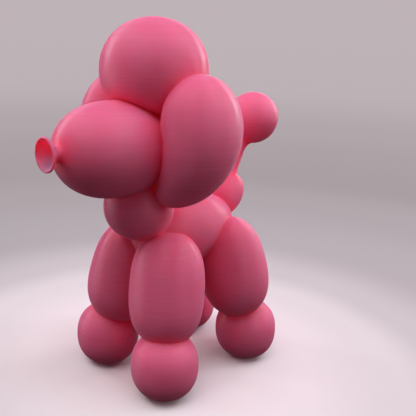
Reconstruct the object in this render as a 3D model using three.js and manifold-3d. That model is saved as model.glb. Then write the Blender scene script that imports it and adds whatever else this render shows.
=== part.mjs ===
// A balloon-twister's poodle standing on four round feet, made as one piece.
// Millimetres. The poodle looks towards -Y, its left side is +X, and its soles lie on z = 0.
// Every bubble is a round body turned about its own axis: |radius / R|^n + |height / H|^n = 1, where n says how full it is.
import * as THREE from "three";
import { mergeVertices } from "three/addons/utils/BufferGeometryUtils.js";
import Module from "manifold-3d";

const wasm = await Module();
wasm.setup();

// ---- sizes ----
const FOOT_R = 14.85; // foot ball, across
const FOOT_H = 14.8; // foot ball, half its uncut height
const FOOT_FULL = 2.31;
const SOLE_CUT = 0.85; // how much of the ball is missing under the flat sole
const FRONT_FOOT = [20.2, -27.0]; // centre of the left front foot
const REAR_FOOT = [20.4, 28.4];

const FRONT_LEG = { r: 16.55, h: 24.3, full: 2.6, swell: -0.02, at: [14.15, -21.2, 46.5], leanIn: 8.9, leanBack: 10.7 };
const REAR_LEG = { r: 16.35, h: 24.2, full: 2.4, swell: -0.07, at: [15.6, 21.4, 47.1], leanIn: 12.1, leanBack: -5.1 };

const BODY = { r: 16.7, h: 29.7, full: 2.0, at: [0, 2.0, 66.3], slope: 3.0 };
const NECK = { r: 15.3, h: 14.8, full: 2.05, at: [0, -26.0, 81.5] };
const MUZZLE = { r: 19.65, h: 26.9, full: 2.3, fullLow: 2.2, at: [0, -39.4, 107.4], slope: -2.0 };
const TOPKNOT = { r: 22.85, h: 21.4, full: 2.08, at: [0, -18.9, 138.6], leanBack: 1.4 };

// an ear is a bean: a bubble bent round the side of the head, fuller at its upper end
const EAR = {
  r: 17.0, h: 27.9, full: 2.5, swell: 0.37, flat: 0.825, bendR: 24.0,
  at: [27.45, -18.45, 107.9], leanBack: 13.8, leanOut: 6.3, turn: 8.5,
  front: 0.04, frontLow: 0.32, // how much narrower its front is than its back, all along and at the lower tip
};

// the mouthpiece: a short neck and a flared, hollow lip in front of the muzzle
const LIP_R = 6.8;
const LIP_T = 0.95; // thickness of the lip
const LIP_Y = -72.35; // its foremost rim
const LIP_UP = 0.9; // how far its middle lies above the muzzle's
const PIPE_R = 2.9;
const PIPE_ROOT_R = 5.0; // where the neck widens into the muzzle
const MOUTH_DEPTH = 4.6;
const PIPE_BACK = 13.0; // how far behind the rim the neck ends, inside the muzzle

const TAIL_BASE = { r: 8.35, h: 11.8, full: 2.1, at: [0, 31.2, 78.25], leanBack: 41.6 };
const TAIL_BALL = { r: 12.85, at: [0, 49.1, 115.7] };
const STALK_R = 1.6;
const STALK_FLARE = 1.7; // added radius where the stalk runs into the tail ball and the tail base
const STALK_FLARE_L = 4.5; // length of each flare

// ---- helpers ----
const D = Math.PI / 180;

// radius of a bubble at a height t (from -1 to 1 of its half length)
const girth = (t, full) => Math.pow(Math.max(0, 1 - Math.pow(Math.abs(t), full)), 1 / full);

// a bubble about Z, centred on the origin; cut is the height missing at its lower end, swell widens its upper end
function bubble({ r, h, full, fullLow = full, swell = 0 }, around, rings, cut = 0) {
  const pts = [];
  const a0 = cut > 0 ? Math.asin((cut - h) / h) : -Math.PI / 2;
  if (cut > 0) pts.push(new THREE.Vector2(0, cut - h));
  for (let i = 0; i <= rings; i++) {
    const a = a0 + ((Math.PI / 2 - a0) * i) / rings;
    const t = Math.sin(a);
    const end = i === rings || (cut === 0 && i === 0);
    pts.push(new THREE.Vector2(end ? 0 : r * girth(t, t < 0 ? fullLow : full) * (1 + swell * t), h * t));
  }
  return turned(pts, around);
}

// a profile of (radius, height) turned about Z
function turned(pts, around) {
  const g = new THREE.LatheGeometry(pts, around);
  g.rotateX(Math.PI / 2);
  return g;
}

// bends a body that stands along Z into an arc whose hollow side faces -X
function bent(g, bendR) {
  const p = g.getAttribute("position");
  for (let i = 0; i < p.count; i++) {
    const a = p.getZ(i) / bendR;
    const reach = bendR + p.getX(i);
    p.setXYZ(i, reach * Math.cos(a) - bendR, p.getY(i), reach * Math.sin(a));
  }
  return g;
}

// makes the front (-Y) of a bubble narrower than its back, most of all at its lower end
function slimmed(g, { h, front, frontLow }) {
  const p = g.getAttribute("position");
  for (let i = 0; i < p.count; i++) {
    if (p.getY(i) < 0) p.setY(i, p.getY(i) * (1 - front - frontLow * Math.min(0, p.getZ(i) / h) ** 2));
  }
  return g;
}

// leans back (towards +Y) and sideways (towards +X), then moves into place
function placed(g, { at, leanBack = 0, leanOut = 0, turn = 0 }) {
  g.rotateZ(turn * D);
  g.rotateY(leanOut * D);
  g.rotateX(-leanBack * D);
  g.translate(...at);
  return g;
}

function mirrored(g) {
  const m = g.clone();
  m.scale(-1, 1, 1);
  const ix = m.index.array;
  for (let i = 0; i < ix.length; i += 3) [ix[i + 1], ix[i + 2]] = [ix[i + 2], ix[i + 1]];
  return m;
}

// a three.js geometry as a closed solid
function solid(geometry) {
  const g = geometry.clone();
  for (const name of ["normal", "uv"]) g.deleteAttribute(name);
  const m = mergeVertices(g, 1e-4);
  const ix = m.index.array;
  const tris = [];
  for (let i = 0; i < ix.length; i += 3) {
    const [a, b, c] = [ix[i], ix[i + 1], ix[i + 2]];
    if (a !== b && b !== c && a !== c) tris.push(a, b, c);
  }
  const s = new wasm.Manifold(
    new wasm.Mesh({
      numProp: 3,
      vertProperties: new Float32Array(m.getAttribute("position").array),
      triVerts: new Uint32Array(tris),
    }),
  );
  if (s.volume() < 0) throw new Error("a bubble is inside out");
  return s;
}

// ---- bubbles ----
const parts = [];
const both = (g) => parts.push(g, mirrored(g));

// feet: balls with a flat sole, their axis upright
for (const [x, y] of [FRONT_FOOT, REAR_FOOT]) {
  const g = bubble({ r: FOOT_R, h: FOOT_H, full: FOOT_FULL }, 18, 9, SOLE_CUT);
  g.translate(x, y, FOOT_H - SOLE_CUT);
  both(g);
}

// upper legs: the tops lean in to the body
for (const leg of [FRONT_LEG, REAR_LEG]) {
  both(placed(bubble(leg, 20, 10), { at: leg.at, leanBack: leg.leanBack, leanOut: -leg.leanIn }));
}

// ears: a little flat from side to side
both(placed(bent(slimmed(bubble(EAR, 20, 12).scale(EAR.flat, 1, 1), EAR), EAR.bendR), EAR));

// body and muzzle lie along Y
const body = bubble(BODY, 20, 10);
body.rotateX((90 + BODY.slope) * D);
body.translate(...BODY.at);
parts.push(body);

const muzzle = bubble(MUZZLE, 22, 11);
muzzle.rotateX((90 + MUZZLE.slope) * D);
muzzle.translate(...MUZZLE.at);
parts.push(muzzle);

parts.push(placed(bubble(NECK, 18, 9), NECK));

// tail: base bubble, pompom ball, and a thin straight stalk from one to the other with a flare at each end
parts.push(placed(bubble(TAIL_BASE, 14, 8), TAIL_BASE));
parts.push(placed(bubble({ r: TAIL_BALL.r, h: TAIL_BALL.r, full: 2 }, 18, 10), TAIL_BALL));
{
  const from = new THREE.Vector3(...TAIL_BASE.at);
  const to = new THREE.Vector3(...TAIL_BALL.at);
  const length = from.distanceTo(to);
  const low = TAIL_BASE.h * 0.84; // where the stalk leaves the base
  const high = length - TAIL_BALL.r; // where it enters the ball
  const pts = [new THREE.Vector2(0, low - 4)];
  const steps = 12;
  for (let i = 0; i <= steps; i++) {
    const s = low + ((high + 1.2 - low) * i) / steps;
    const flare = Math.max(0, 1 - (s - low) / STALK_FLARE_L) ** 2 + Math.max(0, 1 - (high - s) / STALK_FLARE_L) ** 2;
    pts.push(new THREE.Vector2(STALK_R + STALK_FLARE * Math.min(1, flare), s));
  }
  pts.push(new THREE.Vector2(0, high + 4));
  const g = turned(pts, 12);
  g.applyQuaternion(new THREE.Quaternion().setFromUnitVectors(new THREE.Vector3(0, 0, 1), to.clone().sub(from).normalize()));
  g.translate(...TAIL_BASE.at);
  parts.push(g);
}

// mouthpiece: turned about its own axis with the rim up, then laid to face -Y; the inside of the lip is a blind cone
{
  const pts = [];
  const back = -PIPE_BACK;
  pts.push(new THREE.Vector2(0, back));
  pts.push(new THREE.Vector2(PIPE_ROOT_R + 1.2, back));
  const root = MUZZLE.at[1] - MUZZLE.h - LIP_Y; // the muzzle's tip, behind the rim
  const steps = 7;
  for (let i = 0; i <= steps; i++) {
    const s = -root - 1.2 + (root + 1.2 - LIP_T) * (i / steps);
    const q = i / steps;
    const neck = PIPE_R + (PIPE_ROOT_R - PIPE_R) * Math.max(0, 1 - q / 0.45) ** 2;
    const flare = (LIP_R - PIPE_R) * Math.max(0, (q - 0.3) / 0.7) ** 2.2;
    pts.push(new THREE.Vector2(neck + flare, s));
  }
  pts.push(new THREE.Vector2(LIP_R - LIP_T * 0.15, -LIP_T * 0.3));
  pts.push(new THREE.Vector2(LIP_R - LIP_T * 0.5, 0));
  pts.push(new THREE.Vector2(LIP_R - LIP_T, -LIP_T * 0.35));
  for (let i = 1; i < 5; i++) {
    const q = i / 5;
    pts.push(new THREE.Vector2((LIP_R - LIP_T) * (1 - q) ** 0.75, -LIP_T * 0.35 - (MOUTH_DEPTH - LIP_T * 0.35) * q ** 0.9));
  }
  pts.push(new THREE.Vector2(0, -MOUTH_DEPTH));
  const g = turned(pts, 18);
  g.rotateX(90 * D);
  g.translate(0, LIP_Y, MUZZLE.at[2] + LIP_UP);
  parts.push(g);
}

// ---- one solid ----
let whole = solid(parts[0]);
for (const g of parts.slice(1)) whole = whole.add(solid(g));
whole = whole.add(solid(placed(bubble(TOPKNOT, 24, 11), TOPKNOT)));

const mesh = whole.getMesh();
const geometry = new THREE.BufferGeometry();
geometry.setAttribute("position", new THREE.BufferAttribute(new Float32Array(mesh.vertProperties), 3));
geometry.setIndex(new THREE.BufferAttribute(new Uint32Array(mesh.triVerts), 1));

// the origin is under the middle of the bounding box, on the ground
geometry.computeBoundingBox();
const box = geometry.boundingBox;
geometry.translate(-(box.min.x + box.max.x) / 2, -(box.min.y + box.max.y) / 2, -box.min.z);
geometry.computeVertexNormals();

const poodle = new THREE.Mesh(
  geometry,
  new THREE.MeshStandardMaterial({ color: new THREE.Color(0.86, 0.33, 0.47), roughness: 0.42, metalness: 0 }),
);
poodle.name = "balloon_poodle";

const root = new THREE.Group();
root.name = "balloon_poodle_part";
root.add(poodle);

export default root;
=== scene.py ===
# A balloon-twister's poodle, printed in one piece from satin pink plastic.
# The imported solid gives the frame. The visible piece is one fine mesh of the same bubbles, run together with small
# fillets in the creases. Lengths in the shape code are millimetres, and Blender objects are in metres.
import bpy
import math
import numpy as np
from mathutils import Matrix, Vector


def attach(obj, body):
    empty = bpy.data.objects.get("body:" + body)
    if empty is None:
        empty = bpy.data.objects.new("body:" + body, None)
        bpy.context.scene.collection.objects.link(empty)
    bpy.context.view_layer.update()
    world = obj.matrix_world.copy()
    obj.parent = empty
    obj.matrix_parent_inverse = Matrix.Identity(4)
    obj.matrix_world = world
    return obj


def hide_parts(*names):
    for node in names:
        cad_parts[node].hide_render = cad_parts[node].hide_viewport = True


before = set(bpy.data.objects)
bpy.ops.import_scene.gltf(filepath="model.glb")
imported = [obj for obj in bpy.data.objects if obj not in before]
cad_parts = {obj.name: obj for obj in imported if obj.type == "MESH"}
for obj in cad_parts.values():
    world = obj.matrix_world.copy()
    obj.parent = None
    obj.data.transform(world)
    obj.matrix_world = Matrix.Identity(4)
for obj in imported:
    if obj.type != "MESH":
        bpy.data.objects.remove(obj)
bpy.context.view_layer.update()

# ---------------------------------------------------------------- sizes, the same as the solid's
MIDDLE = 5.2  # how far the sizes below are moved along Y, so that the box's middle is at y = 0
FOOT = dict(r=14.85, h=14.8, n=2.31)
SOLE_CUT = 0.85
FRONT_FOOT = (20.2, -27.0)
REAR_FOOT = (20.4, 28.4)
FRONT_LEG = dict(r=16.55, h=24.3, n=2.6, swell=-0.02, at=(14.15, -21.2, 46.5), lean_in=8.9, lean_back=10.7)
REAR_LEG = dict(r=16.35, h=24.2, n=2.4, swell=-0.07, at=(15.6, 21.4, 47.1), lean_in=12.1, lean_back=-5.1)
BODY = dict(r=16.7, h=29.7, n=2.0, at=(0, 2.0, 66.3), slope=3.0)
NECK = dict(r=15.3, h=14.8, n=2.05, at=(0, -26.0, 81.5))
MUZZLE = dict(r=19.65, h=26.9, n=2.3, n_low=2.2, at=(0, -39.4, 107.4), slope=-2.0)
PRESS_SOFT = 0.06  # how far the topknot draws in where it presses on the muzzle, as a part of its radius
TOPKNOT = dict(r=22.85, h=21.4, n=2.08, at=(0, -18.9, 138.6), lean_back=1.4)
EAR = dict(r=17.0, h=27.9, n=2.5, swell=0.37, flat=0.825, bend=24.0, at=(27.45, -18.45, 107.9),
           lean_back=13.8, lean_out=6.3, turn=8.5, front=0.04, front_low=0.32)
TAIL_BASE = dict(r=8.35, h=11.8, n=2.1, at=(0, 31.2, 78.25), lean_back=41.6)
TAIL_BALL = dict(r=12.85, h=12.85, n=2.0, at=(0, 49.1, 115.7))
STALK_R, STALK_FLARE, STALK_FLARE_L = 1.6, 1.7, 4.5
LIP_R, LIP_T, LIP_Y, LIP_UP, PIPE_R, PIPE_ROOT_R, MOUTH_DEPTH, PIPE_BACK = 6.8, 0.95, -72.35, 0.9, 2.9, 5.0, 4.6, 13.0

FILLET = 0.34     # softness of the creases
SOLE_ROUND = 0.06  # softness of the edge of a sole
VOXEL = 0.45
TRIANGLES = 186000

D = math.pi / 180
SHIFT = np.array([0.0, MIDDLE, 0.0])


# ---------------------------------------------------------------- bubbles
def rot(axis, deg):
    return np.array(Matrix.Rotation(deg * D, 3, axis))


def pose(lean_back=0, lean_out=0, turn=0):
    return rot("X", -lean_back) @ rot("Y", lean_out) @ rot("Z", turn)


def bubble(size, axes=None, at=None, side=1):
    """A bubble about its own Z. side -1 gives its mirror image across x = 0."""
    b = dict(swell=0.0, flat=1.0, bend=None, cut=0.0, front=0.0, front_low=0.0, n_low=size.get("n"), pressed=None)
    b.update(size)
    if axes is None:
        axes = pose(b.get("lean_back", 0), b["lean_out"] if "lean_out" in b else -b.get("lean_in", 0), b.get("turn", 0))
    b["axes"], b["side"] = axes, side
    b["at"] = np.array(at if at is not None else size["at"], float) + SHIFT
    return b


BUBBLES = []
for side in (1, -1):
    for x, y in (FRONT_FOOT, REAR_FOOT):
        BUBBLES.append(bubble(dict(FOOT, cut=SOLE_CUT), at=(x, y, FOOT["h"] - SOLE_CUT), side=side))
    for leg in (FRONT_LEG, REAR_LEG):
        BUBBLES.append(bubble(leg, side=side))
    BUBBLES.append(bubble(EAR, side=side))
BUBBLES.append(bubble(BODY, axes=rot("X", 90 + BODY["slope"])))
BUBBLES.append(bubble(MUZZLE, axes=rot("X", 90 + MUZZLE["slope"])))
press = BUBBLES[-1]
for one in (NECK, dict(TOPKNOT, pressed=press), TAIL_BASE, TAIL_BALL):
    BUBBLES.append(bubble(one))


def bubble_value(b, p):
    """Below 0 inside a bubble and above 0 outside it, for the points p."""
    if b["side"] < 0:
        p = p * np.array([-1.0, 1.0, 1.0])
    q = (p - b["at"]) @ b["axes"]
    if b["bend"]:
        u = q[:, 0] + b["bend"]
        w = np.arctan2(q[:, 2], u) * b["bend"] / b["h"]
        x = np.hypot(u, q[:, 2]) - b["bend"]
    else:
        w, x = q[:, 2] / b["h"], q[:, 0]
    r = b["r"] * (1 + b["swell"] * np.clip(w, -1, 1))
    y = q[:, 1]
    if b["front"]:
        y = np.where(y < 0, y / front_side(b, np.clip(w, -1, 1)), y)
    rho = np.hypot(x / (r * b["flat"]), y / r)
    n = np.where(w < 0, b["n_low"], b["n"])
    g = (rho ** n + np.abs(w) ** n) ** (1 / n) - 1
    if b["pressed"]:
        other = bubble_value(b["pressed"], p)
        g = np.maximum(g, -other) + PRESS_SOFT * np.log1p(np.exp(-np.abs(g + other) / PRESS_SOFT))
    return g


def front_side(b, w):
    """How much narrower a bubble is on its -Y side than on its +Y side."""
    return 1 - b["front"] - b["front_low"] * np.minimum(w, 0) ** 2


def bubble_mesh(b, around=56, rings=30):
    """The bubble's surface as points and faces, for the voxel mesh."""
    t0 = math.asin((b["cut"] - b["h"]) / b["h"]) if b["cut"] else -math.pi / 2
    t = np.sin(np.linspace(t0, math.pi / 2, rings + 1))
    n = np.where(t < 0, b["n_low"], b["n"])
    r = b["r"] * np.maximum(0, 1 - np.abs(t) ** n) ** (1 / n) * (1 + b["swell"] * t)
    rings_out = [(0.0, b["h"] * t[0])] + [(r[i], b["h"] * t[i]) for i in range(0 if b["cut"] else 1, rings)] + [(0.0, b["h"])]
    pts, faces = turned(rings_out, around)
    pts[:, 0] *= b["flat"]
    if b["front"]:
        pts[:, 1] *= np.where(pts[:, 1] < 0, front_side(b, pts[:, 2] / b["h"]), 1)
    if b["bend"]:
        a, reach = pts[:, 2] / b["bend"], b["bend"] + pts[:, 0]
        pts = np.stack([reach * np.cos(a) - b["bend"], pts[:, 1], reach * np.sin(a)], 1)
    pts = pts @ b["axes"].T + b["at"]
    if b["side"] < 0:
        pts[:, 0] *= -1
        faces = [f[::-1] for f in faces]
    if b["pressed"]:
        # each point moves along its line to the bubble's middle until it is on the pressed skin
        near, far = np.zeros(len(pts)), np.ones(len(pts))
        for _ in range(24):
            half = (near + far) / 2
            out = bubble_value(b, b["at"] + (pts - b["at"]) * half[:, None]) > 0
            near, far = np.where(out, near, half), np.where(out, half, far)
        pts = b["at"] + (pts - b["at"]) * near[:, None]
    return pts, faces


def turned(profile, around):
    """A closed surface of revolution about Z from (radius, height) pairs that start and end on the axis."""
    pts, faces, rows = [], [], []
    for r, z in profile:
        row = []
        for i in range(1 if r == 0 else around):
            a = 2 * math.pi * i / around
            row.append(len(pts))
            pts.append((r * math.cos(a), r * math.sin(a), z))
        rows.append(row)
    for low, high in zip(rows, rows[1:]):
        for i in range(around):
            a, b = low[i % len(low)], low[(i + 1) % len(low)]
            c, d = high[(i + 1) % len(high)], high[i % len(high)]
            f = [a, b, c, d]
            f = [v for k, v in enumerate(f) if v != f[k - 1]]
            if len(f) > 2:
                faces.append(f)
    return np.array(pts, float), faces


# ---------------------------------------------------------------- stalk of the tail
STALK_A, STALK_B = np.array(TAIL_BASE["at"], float) + SHIFT, np.array(TAIL_BALL["at"], float) + SHIFT
STALK_LEN = float(np.linalg.norm(STALK_B - STALK_A))
STALK_U = (STALK_B - STALK_A) / STALK_LEN
STALK_LOW, STALK_HIGH = TAIL_BASE["h"] * 0.84, STALK_LEN - TAIL_BALL["r"]


def stalk_radius(s):
    flare = np.maximum(0, 1 - (s - STALK_LOW) / STALK_FLARE_L) ** 2 + np.maximum(0, 1 - (STALK_HIGH - s) / STALK_FLARE_L) ** 2
    return STALK_R + STALK_FLARE * np.minimum(1, flare)


def stalk_value(p):
    q = p - STALK_A
    s = q @ STALK_U
    rho = np.linalg.norm(q - s[:, None] * STALK_U, axis=1)
    ends = np.maximum(STALK_LOW - 3 - s, s - (STALK_HIGH + 3))
    return np.maximum(rho - stalk_radius(s), ends)


def stalk_mesh():
    s = np.linspace(STALK_LOW - 3, STALK_HIGH + 3, 40)
    pts, faces = turned([(0.0, s[0])] + list(zip(stalk_radius(s), s)) + [(0.0, s[-1])], 20)
    to = np.array(Vector((0, 0, 1)).rotation_difference(Vector(STALK_U)).to_matrix())
    return pts @ to.T + STALK_A, faces


# ---------------------------------------------------------------- mouthpiece, a profile of (radius, distance behind the rim)
def mouth_profile():
    root = MUZZLE["at"][1] - MUZZLE["h"] - LIP_Y
    pts = [(0.0, -PIPE_BACK), (PIPE_ROOT_R + 1.2, -PIPE_BACK)]
    for i in range(29):
        q = i / 28
        s = -root - 1.2 + (root + 1.2 - LIP_T) * q
        r = PIPE_R + (PIPE_ROOT_R - PIPE_R) * max(0, 1 - q / 0.45) ** 2 + (LIP_R - PIPE_R) * max(0, (q - 0.3) / 0.7) ** 2.2
        pts.append((r, s))
    for i in range(1, 8):  # the round rim
        a = math.pi * i / 8 - 0.35
        pts.append((LIP_R - LIP_T * 0.5 + LIP_T * 0.5 * math.cos(a), -LIP_T * 0.5 + LIP_T * 0.5 * math.sin(a)))
    for i in range(1, 16):
        q = i / 15
        pts.append(((LIP_R - LIP_T) * (1 - q) ** 0.75, -LIP_T * 0.5 - (MOUTH_DEPTH - LIP_T * 0.5) * q ** 0.9))
    return pts


MOUTH = mouth_profile()
MOUTH_Z = MUZZLE["at"][2] + LIP_UP
MOUTH_Y = LIP_Y + MIDDLE


def mouth_value(p):
    """Signed distance to the mouthpiece's turned profile."""
    r, s = np.hypot(p[:, 0], p[:, 2] - MOUTH_Z), MOUTH_Y - p[:, 1]
    best = np.full(len(p), 1e9)
    inside = np.zeros(len(p), bool)
    loop = np.array(MOUTH)
    for (ar, az), (br, bz) in zip(loop, np.roll(loop, -1, 0)):
        er, ez = br - ar, bz - az
        if ar > 0 or br > 0:  # the edge on the axis is not a wall
            t = np.clip(((r - ar) * er + (s - az) * ez) / (er * er + ez * ez), 0, 1)
            best = np.minimum(best, np.hypot(r - ar - t * er, s - az - t * ez))
        cross = ((az > s) != (bz > s))
        if abs(ez) > 1e-12:
            inside ^= cross & (r < ar + er * (s - az) / ez)
    return np.where(inside, -best, best)


def mouth_mesh():
    pts, faces = turned(MOUTH, 60)
    pts = np.stack([pts[:, 0], -pts[:, 2], pts[:, 1]], 1)
    return pts + np.array([0, MOUTH_Y, MOUTH_Z]), faces


# ---------------------------------------------------------------- the whole skin as one smooth field
BENT_NEAR = 0.5
SHAPES = [(lambda p, b=b: bubble_value(b, p), BENT_NEAR, True) for b in BUBBLES]
SHAPES += [(stalk_value, 5.0, False), (mouth_value, 5.0, False)]


def field(p):
    """Distance to the skin (about), its direction, and how deep in a crease each point lies."""
    n = len(p)
    total, pull, near2 = np.zeros(n), np.zeros((n, 3)), np.full((2, n), 50.0)
    e = 1e-3
    for value, reach, _ in SHAPES:
        g = value(p)
        at = np.nonzero(g < reach)[0]
        if not len(at):
            continue
        q, g = p[at], g[at]
        grad = np.stack([(value(q + d) - value(q - d)) / (2 * e) for d in np.eye(3) * e], 1)
        size = np.maximum(np.linalg.norm(grad, axis=1), 1e-6)
        d = g / size
        w = np.exp(np.clip(-d / FILLET, -60, 60))
        total[at] += w
        pull[at] += w[:, None] * grad / size[:, None]
        first, second = near2[0, at], near2[1, at]
        near2[1, at] = np.minimum(second, np.maximum(first, d))
        near2[0, at] = np.minimum(first, d)
    total = np.maximum(total, 1e-30)
    f = -FILLET * np.log(total)
    grad = pull / total[:, None]
    # the flat soles: nothing reaches under z = 0
    a = np.clip((f + p[:, 2]) / SOLE_ROUND, -60, 60)
    w = 1 / (1 + np.exp(a))  # weight of the ground plane
    f = np.where(a > 0, f, -p[:, 2]) + SOLE_ROUND * np.log1p(np.exp(-np.abs(a)))
    grad = grad * (1 - w)[:, None] + w[:, None] * np.array([0, 0, -1.0])
    return f, grad, near2[1] - near2[0]


def make_skin(name):
    verts, faces = [], []
    for pts, fs in [bubble_mesh(b, 160, 110) if b["pressed"] else bubble_mesh(b) for b in BUBBLES] + [stalk_mesh(), mouth_mesh()]:
        faces += [[i + len(verts) for i in f] for f in fs]
        verts += [tuple(v) for v in pts]
    rough = bpy.data.meshes.new(name + "_rough")
    rough.from_pydata(verts, [], faces)
    ob = bpy.data.objects.new(name + "_rough", rough)
    bpy.context.scene.collection.objects.link(ob)
    m = ob.modifiers.new("voxels", "REMESH")
    m.mode, m.voxel_size, m.adaptivity = "VOXEL", VOXEL, 0.0
    dg = bpy.context.evaluated_depsgraph_get()
    dense = bpy.data.meshes.new_from_object(ob.evaluated_get(dg))
    ob.modifiers.clear()
    ob.data = dense
    tris = sum(len(p.vertices) - 2 for p in dense.polygons)
    m = ob.modifiers.new("fewer", "DECIMATE")
    m.decimate_type, m.ratio, m.use_collapse_triangulate = "COLLAPSE", TRIANGLES / tris, True
    dg = bpy.context.evaluated_depsgraph_get()
    mesh = bpy.data.meshes.new_from_object(ob.evaluated_get(dg))
    bpy.data.objects.remove(ob)
    mesh.name = name

    n = len(mesh.vertices)
    p = np.empty(n * 3)
    mesh.vertices.foreach_get("co", p)
    p = p.reshape(-1, 3).astype(float)
    for _ in range(8):
        f, grad, _deep = field(p)
        step = f / np.maximum((grad ** 2).sum(1), 0.15)
        p -= grad * np.clip(step, -0.6, 0.6)[:, None]
    p[p[:, 2] < 0.09, 2] = 0.0  # flat soles
    f, grad, deep = field(p)
    normal = grad / np.maximum(np.linalg.norm(grad, axis=1), 1e-6)[:, None]
    print("skin", n, "points", len(mesh.polygons), "faces, off the field by", float(np.abs(f).max()), "mm")

    mesh.vertices.foreach_set("co", (p * 0.001).ravel())
    # the mask of the painted glow in the creases, from how deep in a crease each point lies
    crease = mesh.attributes.new("crease", "FLOAT", "POINT")
    crease.data.foreach_set("value", np.exp(-deep / 2.4).astype(np.float32))
    mesh.update()
    mesh.polygons.foreach_set("use_smooth", np.ones(len(mesh.polygons), bool))
    mesh.normals_split_custom_set_from_vertices(normal.tolist())
    piece = bpy.data.objects.new(name, mesh)
    bpy.context.scene.collection.objects.link(piece)
    return piece


# ---------------------------------------------------------------- material
class Nodes:
    """Short calls for shader nodes."""

    def __init__(self, name):
        self.material = bpy.data.materials.new(name)
        self.material.use_nodes = True
        self.tree = self.material.node_tree
        self.tree.nodes.clear()

    def add(self, kind, **inputs):
        node = self.tree.nodes.new(kind)
        for key, value in inputs.items():
            if key.startswith("p_"):
                setattr(node, key[2:], value)
        for key, value in inputs.items():
            if key.startswith("p_"):
                continue
            name = key[2:].replace("_", " ") if key.startswith("i_") else key
            socket = node.inputs[int(name)] if name.isdigit() else node.inputs[name]
            self.put(value, socket)
        return node

    def put(self, value, socket):
        if isinstance(value, bpy.types.NodeSocket):
            self.tree.links.new(value, socket)
        else:
            socket.default_value = value

    def maths(self, operation, a, b=0.0, c=0.0):
        node = self.tree.nodes.new("ShaderNodeMath")
        node.operation = operation
        for value, socket in zip((a, b, c), node.inputs):
            self.put(value, socket)
        return node.outputs[0]

    def ranged(self, value, low, high, to_low, to_high, smooth=False):
        node = self.tree.nodes.new("ShaderNodeMapRange")
        node.interpolation_type = "SMOOTHSTEP" if smooth else "LINEAR"
        for v, socket in zip((value, low, high, to_low, to_high), node.inputs):
            self.put(v, socket)
        return node.outputs[0]


def pink_plastic():
    k = Nodes("pink_plastic_print")
    where = k.add("ShaderNodeTexCoord").outputs["Object"]
    split = k.add("ShaderNodeSeparateXYZ", Vector=where)
    z = split.outputs["Z"]

    # layers 0.2 mm high, a little uneven
    wander = k.add("ShaderNodeTexNoise", Vector=where, Scale=90.0, Detail=1.0).outputs["Fac"]
    phase = k.maths("MULTIPLY_ADD", z, 2 * math.pi / 0.0002, k.maths("MULTIPLY", wander, 3.0))
    fine = k.maths("MULTIPLY_ADD", k.maths("SINE", phase), 0.5, 0.5)

    # bands of several layers that came out slightly wider or narrower
    flat_where = k.add("ShaderNodeMapping", Vector=where, Scale=(14.0, 14.0, 2000.0)).outputs[0]
    bands = k.add("ShaderNodeTexNoise", Vector=flat_where, Scale=1.0, Detail=2.5, Roughness=0.62).outputs["Fac"]
    wide_where = k.add("ShaderNodeMapping", Vector=where, Scale=(9.0, 9.0, 420.0)).outputs[0]
    wide = k.add("ShaderNodeTexNoise", Vector=wide_where, Scale=1.0, Detail=1.0).outputs["Fac"]
    soft = k.add("ShaderNodeTexNoise", Vector=where, Scale=55.0, Detail=3.0).outputs["Fac"]
    grain = k.add("ShaderNodeTexNoise", Vector=where, Scale=2600.0, Detail=2.0).outputs["Fac"]

    # a print's overhangs show their layers more
    facing = k.add("ShaderNodeSeparateXYZ", Vector=k.add("ShaderNodeNewGeometry").outputs["Normal"]).outputs["Z"]
    hanging = k.ranged(facing, 0.3, -0.7, 0.55, 1.0, smooth=True)

    height = k.maths("MULTIPLY", fine, 0.10)
    height = k.maths("MULTIPLY_ADD", bands, 0.75, height)
    height = k.maths("MULTIPLY_ADD", wide, 0.4, height)
    height = k.maths("MULTIPLY", height, hanging)
    height = k.maths("MULTIPLY_ADD", grain, 0.05, height)
    bump = k.add("ShaderNodeBump", Strength=1.0, Distance=0.00007, Height=height).outputs[0]

    tone = k.maths("MULTIPLY_ADD", soft, 0.5, k.maths("MULTIPLY", bands, 0.5))
    tone = k.maths("MULTIPLY_ADD", k.maths("SUBTRACT", bands, 0.5), hanging, tone)
    colour = k.add("ShaderNodeMix", p_data_type="RGBA", p_blend_type="MIX")
    k.put(k.ranged(tone, 0.25, 0.75, 0.0, 1.0), colour.inputs[0])
    k.put((0.92, 0.150, 0.298, 1), colour.inputs[6])
    k.put((0.96, 0.184, 0.358, 1), colour.inputs[7])

    # painted glow: the creases get a redder, brighter base colour, standing in for the light the plastic passes on to
    # itself there
    crease = k.ranged(k.add("ShaderNodeAttribute", p_attribute_name="crease").outputs["Fac"], 0.05, 0.9, 0.0, 1.0)
    # painted glow: up to 0.8 of the way to a bright red where the crease mask is high
    deep = k.add("ShaderNodeMix", p_data_type="RGBA", p_blend_type="MIX")
    k.put(k.maths("MULTIPLY", crease, 0.8), deep.inputs[0])
    k.put(colour.outputs[2], deep.inputs[6])
    k.put((1.0, 0.10, 0.21, 1), deep.inputs[7])

    rough = k.maths("MULTIPLY_ADD", bands, 0.10, k.maths("MULTIPLY_ADD", soft, 0.06, 0.31))
    edge = k.add("ShaderNodeLayerWeight", Blend=0.5).outputs["Facing"]
    rough = k.maths("ADD", rough, k.ranged(edge, 0.62, 0.95, 0.0, 0.4, smooth=True))  # ridges scatter the light at a low angle
    up = k.add("ShaderNodeCombineXYZ", X=0.0, Y=0.0, Z=1.0).outputs[0]
    shade = k.add("ShaderNodeBsdfPrincipled", Normal=bump, Roughness=rough, Tangent=up)
    k.put(deep.outputs[2], shade.inputs["Base Color"])
    shade.inputs["Anisotropic"].default_value = 0.88
    shade.inputs["Subsurface Weight"].default_value = 1.0
    shade.inputs["Subsurface Radius"].default_value = (1.0, 0.09, 0.11)
    shade.inputs["Subsurface Scale"].default_value = 0.0085
    shade.inputs["IOR"].default_value = 1.45
    shade.inputs["Specular IOR Level"].default_value = 0.38
    k.add("ShaderNodeOutputMaterial", Surface=shade.outputs[0])
    return k.material


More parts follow.
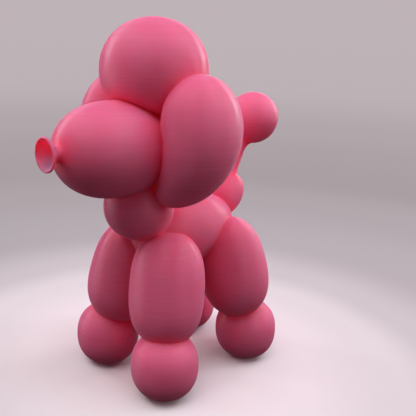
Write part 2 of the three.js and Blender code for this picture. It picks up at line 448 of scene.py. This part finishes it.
# ---------------------------------------------------------------- camera
def make_camera():
    f, middle_x = 563.774, 166.0  # in the pixels of a frame 416 wide
    yaw, pitch, roll = 46.294 * D, 15.166 * D, 1.674 * D
    at = Vector((178.86, -180.61 + MIDDLE, 144.95)) * 0.001
    ahead = Vector((-math.sin(yaw) * math.cos(pitch), math.cos(yaw) * math.cos(pitch), -math.sin(pitch)))
    right = Vector((math.cos(yaw), math.sin(yaw), 0))
    up = right.cross(ahead)
    x, y = right * math.cos(roll) + up * math.sin(roll), up * math.cos(roll) - right * math.sin(roll)
    data = bpy.data.cameras.new("camera")
    data.sensor_width, data.lens = 36.0, f / 416 * 36.0
    data.shift_x = (208 - middle_x) / 416
    data.clip_start, data.clip_end = 0.01, 20.0
    ob = bpy.data.objects.new("camera", data)
    ob.matrix_world = Matrix.Translation(at) @ Matrix((x, y, -ahead)).transposed().to_4x4()
    bpy.context.scene.collection.objects.link(ob)
    bpy.context.scene.camera = ob
    return ob


# ---------------------------------------------------------------- stage and lights
FLOOR_PAINTED_LIGHT = ((0.06, 0.97), (0.11, 0.79), (0.14, 0.62), (0.20, 0.46), (0.34, 0.17), (0.46, 0.0), (1.6, 0.0))  # metres out, grey; painted light: the floor is pale near the figure and fades to nothing farther out
FAR_PAINTED_GLOW = ((0.20, 0.0), (0.34, 0.26), (0.46, 0.40), (0.70, 0.415), (0.85, 0.44), (1.05, 0.51), (1.25, 0.52), (1.6, 0.50))  # painted light from afar, metres out and grey: the far floor and wall glow, paler farther out


def make_stage():
    """A pale floor that runs up into a round pale wall, the same from every side, with its light painted on: the
    floor's grey fades away from the figure, and the far floor and wall glow, paler farther out.
    """
    profile = [(0.0, 0.0), (0.15, 0.0), (0.4, 0.0), (0.7, 0.0)]
    for i in range(1, 17):
        a = math.pi / 2 * i / 16
        profile.append((0.7 + 0.7 * math.sin(a), 0.7 - 0.7 * math.cos(a)))
    profile.append((1.4, 1.9))
    around = 96
    pts, faces = [], []
    for r, z in profile[1:]:
        pts += [(r * math.cos(2 * math.pi * i / around), r * math.sin(2 * math.pi * i / around), z) for i in range(around)]
    faces.append(list(range(around)))
    for k in range(len(profile) - 2):
        for i in range(around):
            j = (i + 1) % around
            faces.append([k * around + i, (k + 1) * around + i, (k + 1) * around + j, k * around + j])
    mesh = bpy.data.meshes.new("stage")
    mesh.from_pydata([(x, y, z - 0.00002) for x, y, z in pts], [], faces)
    mesh.polygons.foreach_set("use_smooth", np.ones(len(faces), bool))
    ob = bpy.data.objects.new("stage", mesh)
    bpy.context.scene.collection.objects.link(ob)
    k = Nodes("pale_backdrop")
    where = k.add("ShaderNodeTexCoord").outputs["Object"]
    far = k.add("ShaderNodeVectorMath", p_operation="LENGTH")
    k.put(where, far.inputs[0])
    place = k.maths("DIVIDE", far.outputs["Value"], 1.6)

    def ramp(tones):
        node = k.add("ShaderNodeValToRGB", Fac=place)
        node.color_ramp.interpolation = "EASE"
        stops = node.color_ramp.elements
        for at, grey in tones[:-2]:
            stops.new(at / 1.6)
        for stop, (at, grey) in zip(stops, tones):
            stop.position, stop.color = at / 1.6, (grey, grey * 0.87, grey * 0.915, 1)
        return node.outputs[0]

    shade = k.add("ShaderNodeBsdfPrincipled", Roughness=0.8)
    # painted light: the base grey fades out away from the figure, and the emission makes the far floor and wall glow
    k.put(ramp(FLOOR_PAINTED_LIGHT), shade.inputs["Base Color"])
    k.put(ramp(FAR_PAINTED_GLOW), shade.inputs["Emission Color"])
    shade.inputs["Emission Strength"].default_value = 1.0
    shade.inputs["Specular IOR Level"].default_value = 0.0
    k.add("ShaderNodeOutputMaterial", Surface=shade.outputs[0])
    mesh.materials.append(k.material)
    ob.visible_diffuse = ob.visible_glossy = ob.visible_shadow = False
    return ob


def area(name, azimuth, elevation, distance, width, height, power, colour=(1, 1, 1), target=(0, 0, 0.08)):
    """A soft box. Azimuth 0 is in front of the figure (-Y) and 90 is on its left (+X)."""
    a, e = azimuth * D, elevation * D
    to = Vector((math.sin(a) * math.cos(e), -math.cos(a) * math.cos(e), math.sin(e)))
    data = bpy.data.lights.new(name, "AREA")
    data.shape, data.size, data.size_y = "RECTANGLE", width, height
    data.energy, data.color = power, colour
    ob = bpy.data.objects.new(name, data)
    ob.location = Vector(target) + to * distance
    ob.rotation_mode = "QUATERNION"
    ob.rotation_quaternion = to.to_track_quat("Z", "Y")
    ob.visible_camera = False
    bpy.context.scene.collection.objects.link(ob)
    return ob


skin = make_skin("balloon_poodle_skin")
skin.data.materials.append(pink_plastic())
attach(skin, "root")
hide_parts("balloon_poodle")

make_camera()
make_stage()
CAMERA_SIDE = 45.6  # azimuth of the camera
SOFT, SLIM, STRIP, GLINT = (0.50, 0.40, 0.8), (0.16, 0.42, 0.8), (0.05, 0.50, 0.7), (0.03, 0.16, 0.8)  # width, height and distance of a soft box
for name, azimuth, elevation, size, power, colour in (
    ("back_low", 180, 0, SOFT, 2.9, (0.86, 0.97, 1)),
    ("front_left", -45, 57, SOFT, 1.70, (1, 0.93, 0.95)),
    ("side_right", 90, 50, SOFT, 1.52, (0.88, 0.97, 1)),
    ("back_right", 135, 22, SOFT, 1.30, (1, 0.84, 0.88)),
    ("over_front", 5, 68, SOFT, 1.22, (0.92, 0.96, 1)),
    ("over_right", 90, 70, SOFT, 0.90, (0.84, 0.96, 1)),
    ("front_right", 45, 25, SOFT, 0.76, (1, 0.97, 0.93)),
    ("side_left_low", -90, 0, SOFT, 0.97, (1, 0.95, 0.97)),
    ("side_left", -90, 50, SOFT, 1.00, (0.95, 1, 0.95)),
    ("back_left", -135, 36, SLIM, 0.52, (0.85, 0.95, 1)),
    ("glint_left", -118, 27, GLINT, 0.38, (1, 1, 1)),
    ("glint_right", 130, 18, GLINT, 0.45, (1, 1, 1)),
    ("strip_right", 100, 24, STRIP, 0.75, (1, 0.9, 0.92)),
    ("strip_left_back", -115, 24, STRIP, 0.45, (0.9, 1, 1)),
):
    area(name, CAMERA_SIDE + azimuth, elevation, size[2], size[0], size[1], power, colour)

world = bpy.data.worlds.new("world")
world.use_nodes = True
world.node_tree.nodes["Background"].inputs["Color"].default_value = (1.0, 1.0, 1.0, 1)
world.node_tree.nodes["Background"].inputs["Strength"].default_value = 0.05
scene = bpy.context.scene
scene.world = world
scene.view_settings.view_transform = "Standard"
scene.cycles.max_bounces, scene.cycles.diffuse_bounces = 16, 10  # light is passed on many times in the creases
